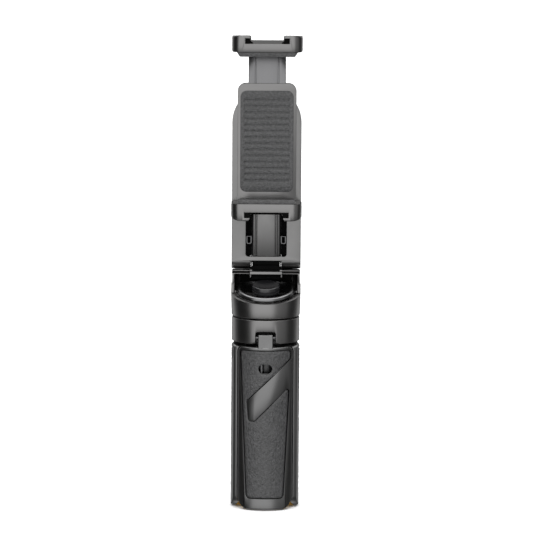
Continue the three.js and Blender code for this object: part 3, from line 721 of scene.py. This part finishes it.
def head_housing():
    r, low, edge, back = HEAD_R, HEAD_LOW, 0.45, 15.8
    bore_r, mouth_r, mouth_low, ledge = 14.4, 15.5, 98.4, 108.4
    wide = r + HEAD_FLARE
    profile = [(0, low), (r - edge, low), (r, low + edge), (wide, 104), (wide, 109), (0, 109)]
    plan = rounded(-HOOD_HALF, HOOD_HALF, 1, back, 0.02, 0.02, 5.5, 5.5, steps=14)
    body = join(lathe(profile, sides=FINE), prism(plan, "Z", 99, HOOD_HIGH))
    front_cut = common(leaned(box(-FAR, FAR, -30, 40, -1.05, 40)), box(-FAR, FAR, -30, -1, 90, 130))
    slope = [(0.9, ledge), (HOOD_FRONT, HOOD_LOW), (HOOD_FRONT, 130), (0.9, 130)]
    bore = lathe([(0, low - 1), (bore_r, low - 1), (bore_r, ledge), (0, ledge)], sides=FINE)
    inside = HOOD_HALF - 1.3
    mouth = common(
        lathe([(0, mouth_low), (mouth_r, mouth_low), (mouth_r, ledge), (0, ledge)], sides=FINE),
        box(-FAR, FAR, -FAR, 1, 90, 109),
    )
    rib = prism(rounded(14.2, 15.6, HOOD_HIGH - 0.5, 115, 0.02, 0.02, 0.3, 0.3, steps=3), "X", -11, 11)
    room = rounded(-inside, inside, 0, back - 1.4, 0.02, 0.02, 4.2, 4.2, steps=10)
    hollow = prism(room, "Z", 105, HOOD_LOW)
    # The plate's front edge is scooped out between two thin lips.
    scoop = fillet([
        ((HOOD_FRONT - 1, HOOD_LOW + 0.32), 0.05), ((HOOD_FRONT + 1.6, HOOD_LOW + 0.32), 0.05),
        ((HOOD_FRONT + 1.6, HOOD_LOW + 0.4), 0.05), ((HOOD_FRONT, HOOD_HIGH - 0.38), 0.05),
        ((HOOD_FRONT - 1, HOOD_HIGH - 0.38), 0.05),
    ], steps=2)
    return cut(
        join(body, rib),
        front_cut,
        box(-FAR, FAR, -1.1, 1, ledge, 130),
        prism(slope, "X", -FAR, FAR),
        bore,
        mouth,
        hollow,
        prism(scoop, "X", -FAR, FAR),
        box(-BLOCK_HALF, BLOCK_HALF, 3, 8.3, 111, 116),
        box(-KNUCKLE_HALF, KNUCKLE_HALF, 8.2, 14.4, 108, 120),
    )


BLOCK_HALF = 7.8


def lip_bar():
    """The bright bar across the middle of the hood's edge, with its ends bent down."""
    high, low, front, back = 113.65, 112.2, 5.9, 8.25
    tip = 110.6
    bar = fillet([
        ((front, low), 0.2), ((front + 0.15, high - 0.15), 0.1), ((front + 0.35, high), 0.05),
        ((back, high), 0.05), ((back, low), 0.05),
    ], steps=3)
    end = fillet([
        ((front + 0.35, tip), 0.3), ((front + 0.35, low + 0.6), 0.1), ((front + 1.2, high - 0.05), 0.1),
        ((back, high - 0.05), 0.05), ((back, tip), 0.05),
    ], steps=3)
    made = prism(bar, "X", -BLOCK_HALF + 0.02, BLOCK_HALF - 0.02)
    for x in (-BLOCK_HALF + 0.02, BLOCK_HALF - 0.62):
        made = join(made, prism(end, "X", x, x + 0.6))
    return made


def tilt_block():
    """The ridged block behind the shutter button, with the middle knuckle of the tilt hinge on it."""
    y, z, half, front, back = TILT_Y, TILT_Z, KNUCKLE_HALF - 0.02, 8.3, 14.35
    side = [
        (front, 109.6), (back, 109.6), (back, HOOD_HIGH),
        (y + KNUCKLE_NECK, HOOD_HIGH), (y + KNUCKLE_NECK, z),
        (y - KNUCKLE_NECK, z), (y - KNUCKLE_NECK, HOOD_HIGH), (front, HOOD_HIGH),
    ]
    root = box(-half - 0.5, half + 0.5, y - KNUCKLE_NECK, y + KNUCKLE_NECK, HOOD_LOW, 115.4)
    block = join(prism(side, "X", -half, half), prism(circle(y, z, KNUCKLE_R, 64), "X", -half, half), root)
    face = prism([(7.4, 109.7), (front + 0.5, 109.7), (front + 0.5, 112.15), (7.4, 112.15)], "X", -6.9, 6.9)
    ridges = [prism([(7, z0), (7.9, z0 + 0.05), (7.9, z0 + 0.3), (7, z0 + 0.35)], "X", -8, 8)
              for z0 in (110.05, 110.75, 111.45)]
    return cut(join(block, cut(face, *ridges)), prism(circle(y, z, PIN_BORE_R, 32), "X", -FAR, FAR))


def hood_painted_shade():
    """A matt black skin on the back wall under the hood: painted shade, standing in for the shadow in the recess
    there.
    """
    inside = HOOD_HALF - 1.4
    skin = box(-inside, inside, 14.05, 14.35, 105.5, HOOD_LOW - 0.05)
    knuckle = [(-KNUCKLE_HALF, 109), (KNUCKLE_HALF, 109), (KNUCKLE_HALF, 113), (-KNUCKLE_HALF, 113)]
    return cut(skin, prism(knuckle, "Y", 13, 16))


def pad_ring(inset, z, square):
    """One ring of the shutter pad: round in front, and towards a squared form behind as square goes to 1."""
    r, back = PAD_R, 12.9
    ring = []
    for t in spread(FINE):
        x, y = math.sin(t), -math.cos(t)
        n = 2 + 1.6 * square if y > 0 else 2
        b = r + (back - r) * square if y > 0 else r
        reach = 1 / ((abs(x) / r) ** n + (abs(y) / b) ** n) ** (1 / n)
        ring.append((x * (reach - inset), y * (reach - inset), z))
    return ring


def shutter_pad():
    """The dish under the thumb: rings of (inset, height, squareness), from the rim to the button's hole."""
    deep = PAD_R - BUTTON_HOLE_R
    rings = [
        (2.6, -4.0, 0), (2.5, -1.75, 0.6), (2.2, -1.35, 1), (0.3, -1.05, 1), (0.08, -0.98, 1), (0.0, -0.85, 1),
        (0.03, -0.6, 1), (0.16, -0.2, 1), (0.38, 0.2, 1), (0.75, 0.52, 1), (1.25, 0.7, 1), (1.7, 0.72, 1),
        (2.1, 0.55, 1), (2.5, 0.1, 0.95), (2.9, -0.4, 0.85), (3.5, -0.9, 0.7), (4.3, -1.35, 0.5),
        (5.3, -1.7, 0.25), (deep - 0.25, -1.95, 0), (deep, -2.1, 0), (deep, -4.0, 0),
    ]
    verts = [point for inset, z, square in rings for point in pad_ring(inset, z, square)]
    sides, faces = FINE, []
    for k in range(len(rings)):
        low, high = k * sides, (k + 1) % len(rings) * sides
        faces += [(low + i, low + (i + 1) % sides, high + (i + 1) % sides, high + i) for i in range(sides)]
    return leaned(mesh_of(verts, faces))


def shutter_button():
    r, proud, edge = 6.8, 2.7, 0.62
    profile = [
        (0, -2.9), (r - 1, -2.9), (r, -2.6), (r, proud - edge), (r - 0.06, proud - edge + 0.15),
        (r - edge + 0.1, proud - 0.05), (r - edge - 0.1, proud), (r - 1.2, proud - 0.1), (4.2, proud - 0.25),
        (2.2, proud - 0.36), (0, proud - 0.4),
    ]
    return leaned(lathe(profile, sides=160))


def build_head():
    show("head", head_housing(), "head", "housing_plastic", ["head_housing"], soft=0.14)
    show("head_bar", lip_bar(), "head", "housing_plastic", ["head_housing"], soft=0.08)
    # The tilt block takes the near-black painted-shade finish, standing in for the shade of the recess under the
    # hood, though its slot is black plastic.
    show("tilt_knuckle", tilt_block(), "head", "black_plastic", ["head_housing"], soft=0.05, finish="painted_shade")
    show("hood_painted_shade", hood_painted_shade(), "head", "black_plastic", ["head_housing"], finish="painted_shade")
    show("shutter_pad", shutter_pad(), "head", "black_plastic", ["remote_shell"], sharp=50, finish="gloss")
    show("shutter", shutter_button(), "button", "button_plastic", ["shutter_button"], sharp=50)


# ---- Tilting arm ----

ARM_HALF, ARM_FRONT, ARM_BACK = 16.75, 7.3, 12.6
POCKET_HALF, POCKET_LOW, POCKET_HIGH, POCKET_FLOOR = 9.9, 120.8, 168, 11.3


def knuckle_room():
    return prism(circle(TILT_Y, TILT_Z, KNUCKLE_R + 0.3, 64), "X", -KNUCKLE_HALF - 0.7, KNUCKLE_HALF + 0.7)


def arm_frame():
    y, z, half = TILT_Y, TILT_Z, ARM_HALF
    outline = [(-half, z), (half, z)] + arc(0, TURN_Z, half, 0, 180, 64)
    plate = prism(outline, "Y", ARM_FRONT, ARM_BACK)
    barrel = prism(circle(y, z, 4.2, 96), "X", -half, half)
    window = rounded(-POCKET_HALF, POCKET_HALF, POCKET_LOW, POCKET_HIGH, 1.3)
    pocket = prism(window, "Y", ARM_FRONT - 1, POCKET_FLOOR)
    reach = 12
    swing = [
        (y, z), (y - reach, z - 0.3), (y - reach, z - reach),
        (y + reach, z - reach), (y + reach, z + reach * 0.85),
    ]
    return cut(
        join(plate, barrel),
        pocket,
        prism(swing, "X", -KNUCKLE_HALF - 0.7, KNUCKLE_HALF + 0.7),
        knuckle_room(),
        prism(circle(y, z, PIN_BORE_R, 32), "X", -FAR, FAR),
        prism(circle(y, z, 2.9), "X", half - 1.2, 20),
        prism(circle(y, z, 2.9), "X", -FAR, -half + 1.2),
        prism(circle(0, TURN_Z, 5.2, 64), "Y", 5, 14),
    )


def arm_spine():
    face, back = ARM_FRONT + 0.35, POCKET_FLOOR - 0.05
    bow = [(4.3 * i / 8, face + 0.42 * (i / 8) ** 2) for i in range(9)]
    flank = [(5.35 + 1.75 * math.sin(t), face + 0.05 + 1.75 * (1 - math.cos(t))) for t in spread(40)[1:11]]
    side = bow[1:] + [
        (4.4, face + 0.9), (4.62, face + 0.9), (4.72, face + 0.1), (4.9, face - 0.02), (5.1, face - 0.02),
        (5.25, face + 0.1), (5.35, face + 0.35), *flank, (7.1, back),
    ]
    outline = [bow[0]] + side + [(-a, b) for a, b in reversed(side)]
    return cut(prism(outline, "Z", POCKET_LOW + 0.15, POCKET_HIGH - 0.15), knuckle_room())


def pocket_painted_shade():
    """The matt black floor of the window on each side of the panel: painted shade, standing in for the shadow
    deep in the pocket.
    """
    floor = POCKET_FLOOR - 0.01
    made = []
    for x0, x1 in ((-POCKET_HALF + 0.05, -7.15), (7.15, POCKET_HALF - 0.05)):
        strip = rounded(x0, x1, POCKET_LOW + 0.05, POCKET_HIGH - 0.05, 0.9)
        made.append(prism(strip, "Y", floor - 0.12, floor))
    return join(*made)


def arm_clip():
    ring = prism(rounded(7.05, 9.6, 126.8, 130.9, 0.9, 0.9, 0.35, 0.35), "Y", 8.2, POCKET_FLOOR - 0.15)
    ring = cut(ring, prism([(8.0, 130.5), (9.0, 131.4), (8.0, 131.4)], "X", 5, 12))
    return cut(ring, prism(rounded(7.55, 9.1, 127.3, 130.35, 0.5, 0.5, 0.15, 0.15), "Y", 8, 12))


def back_cover():
    low, back = ARM_BACK, 15.6
    half, foot, crown, wall = 14, 128, 200, 1.4
    outline = rounded(-half, half, foot, crown, 5, steps=12)
    tray = prism(outline, "Y", low + 0.05, back)
    dome = prism(outline, "Y", low + 0.05, back, soft=0.8, steps=6)
    room = rounded(-half + wall, half - wall, foot + wall, crown - wall, 4)
    cover = cut(common(tray, dome), prism(room, "Y", low - 1, 14.2))
    for name in ("low", "high"):
        z = sum(c.z for c in corners(f"cover_screw_{name}")) / 2
        cover = join(cover, prism(circle(0, z, 2.6), "Y", low + 0.05, 14.3))
        head_room, shank_room = circle(0, z, 1.75), circle(0, z, 1.1, 32)
        cover = cut(cover, prism(head_room, "Y", 14.4, 17), prism(shank_room, "Y", 12, 17))
    grooves = [
        prism(rounded(-10.5, 10.5, z, z + 0.7, 0.34), "Y", back - 0.35, back + 1)
        for z in (152, 155, 158, 161, 164)
    ]
    return cut(cover, *grooves)


def cover_screw(z):
    head = join(
        prism(circle(0, z, 1.65), "Y", 14.45, 15.4, soft=0.2),
        prism(circle(0, z, 1.0, 32), "Y", ARM_BACK + 0.1, 14.5),
    )
    return cut(head, prism(circle(0, z, 0.8, 6), "Y", 14.9, 17))


def hinge_cap():
    half = ARM_HALF
    cap = prism(circle(TILT_Y, TILT_Z, 2.7, 64), "X", half - 1.15, half - 0.05, soft=0.25)
    return cut(cap, prism(circle(TILT_Y, TILT_Z, 1.3, 6), "X", half - 0.75, 20))


def build_arm():
    show("arm_plate", arm_frame(), "arm", "arm_metal", ["arm_frame"], soft=0.22)
    show("arm_panel", arm_spine(), "arm", "arm_metal", ["arm_spine"], soft=0.06)
    # Painted shade on the floor of the arm's window.
    show("arm_painted_shade", pocket_painted_shade(), "arm", "black_plastic", [], finish="painted_shade")
    show("arm_cover", back_cover(), "arm", "black_plastic", ["arm_back_cover"], soft=0.15)
    for name, side in {"left": -1, "right": 1}.items():
        clip, cap = arm_clip(), hinge_cap()
        if side < 0:
            clip, cap = mirrored(clip), mirrored(cap)
        show(f"clip_{name}", clip, "arm", "steel", [f"arm_clip_{name}"], soft=0.1)
        show(f"cap_{name}", cap, "arm", "steel", [f"hinge_cap_{name}"], soft=0.06)
    for name in ("low", "high"):
        node = f"cover_screw_{name}"
        z = sum(c.z for c in corners(node)) / 2
        show(f"{node}_socket", cover_screw(z), "arm", "steel", [node], soft=0.05)


# ---- Clamp and jaws ----

JAW_HALF, JAW_FRONT, JAW_TOP = 17, -8.7, 8.3
CLAMP_FRONT, CLAMP_BACK = 3.0, 7.0


def jaw(back):
    """A jaw with its contact face at z = 0: a block with an accessory slot and rounded ears."""
    floor, roof, top, side, slot, mouth, half = 4.2, 6.7, JAW_TOP, 6.6, 10.65, 7.8, JAW_HALF
    ear = [
        (half - 0.15, side + 0.15), (half - 0.6, side + 0.62), (half - 1.6, side + 1.1),
        (half - 3.2, side + 1.5), (half - 5.4, top - 0.03), (mouth + 0.95, top),
    ]
    right = [
        (half - 0.5, 0), (half, 0.5), (half, side - 0.4), *ear, (mouth, roof), (slot, roof), (slot, floor),
    ]
    outline = right + [(-a, b) for a, b in reversed(right)]
    plan = prism(rounded(-half, half, JAW_FRONT, back, 5, 5, 2, 2, steps=14), "Z", -1, 12)
    # The ears fall towards the back, where two stops end the slot.
    low = top - 0.1 * (back - JAW_FRONT)
    ears_end = [(JAW_FRONT - 1, top + 0.1), (back + 1, low - 0.1), (back + 1, FAR), (JAW_FRONT - 1, FAR)]
    above = prism(ears_end, "X", -FAR, FAR)
    stops = [box(x0, x0 + 3, back - 2, back - 0.02, floor - 0.1, low) for x0 in (mouth, -mouth - 3)]
    return cut(join(common(prism(outline, "Y", JAW_FRONT - 1, back + 1), plan), *stops), above)


def jaw_pad():
    """Ribbed rubber on a jaw's contact face, with a low hook in front of the phone."""
    front, back = -6.1, 2.2
    plate = prism(rounded(-14, 14, front, back, 1.2), "Z", -1.25, -0.05, soft=0.25)
    ribs = [prism([(y - 0.22, -2), (y + 0.22, -2), (y + 0.08, -1.05), (y - 0.08, -1.05)], "X", -FAR, FAR)
            for y in (-4.6, -3.4, -2.2, -1.0, 0.2, 1.4)]
    lip = [(-14.6, -0.05), (-13.2, -2.1), (13.2, -2.1), (14.6, -0.05)]
    hook = prism(lip, "Y", JAW_FRONT + 0.5, front + 0.01)
    return join(cut(plate, *ribs), hook)


def clamp_body():
    low, high = corners("clamp_body")
    outline = rounded(-14.2, 14.2, low.z, high.z, 0.02, 0.02, 4, 4, steps=12)
    body = prism(outline, "Y", CLAMP_FRONT, CLAMP_BACK)
    channel = box(-9.2, 9.2, 3.8, 6.3, 152, 215)
    return cut(body, channel, prism(circle(0, TURN_Z, 3.1), "Y", 6.1, 8))


def back_pad():
    low, high = corners("back_pad")
    pad = prism(rounded(low.x, high.x, low.z, high.z, 3, steps=10), "Y", low.y, high.y, soft=0.2)
    ribs = [prism(rounded(low.x + 2, high.x - 2, z, z + 0.9, 0.44), "Y", low.y - 1, low.y + 0.4)
            for z in range(158, 199, 3)]
    return cut(pad, *ribs)


def slot_painted_shade():
    """Matt black skins under a jaw's ears, at the ends of its slot: painted shade, standing in for the shadow the
    ears cast into the slot.
    """
    skins = []
    for side in (-1, 1):
        outline = [(10.6, 4.22), (6.7, 4.22), (7.0, 4.75), (7.9, 5.3), (8.1, 6.66), (10.6, 6.66)]
        skins.append(prism([(side * a, b) for a, b in outline], "Y", JAW_FRONT + 1.2, JAW_FRONT + 1.5))
    return join(*skins)


def build_clamp():
    lower_face, upper_face = corners("lower_jaw")[1].z, corners("upper_jaw")[0].z
    upside_down = lambda mesh: moved(turned(mesh, "Y", 180), z=lower_face)
    bottom = upside_down(jaw(corners("lower_jaw")[1].y))
    show("jaw_low", bottom, "clamp", "housing_plastic", ["lower_jaw"], soft=0.25)
    show("jaw_low_pad", upside_down(jaw_pad()), "clamp", "grip_rubber", ["lower_jaw_pad"], soft=0.12)
    show("clamp_shell", clamp_body(), "clamp", "housing_plastic", ["clamp_body"], soft=0.3)
    show("phone_pad", back_pad(), "clamp", "grip_rubber", ["back_pad"], soft=0.08)
    top = moved(jaw(corners("upper_jaw")[1].y), z=upper_face)
    show("jaw_high", top, "sliding_jaw", "housing_plastic", ["upper_jaw"], soft=0.25)
    top_pad = moved(jaw_pad(), z=upper_face)
    show("jaw_high_pad", top_pad, "sliding_jaw", "grip_rubber", ["upper_jaw_pad"], soft=0.12)
    right_way_up = lambda mesh: moved(mesh, z=upper_face)
    # Each jaw gets its painted-shade skins under the ears.
    for name, body, place in (("low", "clamp", upside_down), ("high", "sliding_jaw", right_way_up)):
        show(f"slot_{name}_lining", place(slot_painted_shade()), body, "black_plastic", [], finish="painted_shade")
    low, high = corners("jaw_rail")
    rail = prism(rounded(low.x, high.x, low.z, high.z, 1.5, 1.5, 0.02, 0.02), "Y", low.y, high.y)
    grooves = []
    for x in (-5.5, 5.5):
        groove = [(x - 0.5, low.y - 1), (x + 0.5, low.y - 1), (x + 0.3, low.y + 0.3), (x - 0.3, low.y + 0.3)]
        grooves.append(prism(groove, "Z", low.z - 1, high.z + 1))
    show("rail", cut(rail, *grooves), "sliding_jaw", "tube_aluminium", ["jaw_rail"], soft=0.12)


# ---- CAD nodes that keep their shape ----

def carry_over(node):
    """A CAD node keeps its shape, and takes the material of its slot. A replaced one was already hidden by show.
    """
    piece = frame["nodes"][node]
    piece.data.materials.clear()
    piece.data.materials.append(MATERIALS[SLOT_OF[node]])


make_camera()
make_light()
make_floor()
build_legs()
build_hub()
build_mast()
build_head()
build_arm()
build_clamp()
for node_name in frame["nodes"]:
    carry_over(node_name)
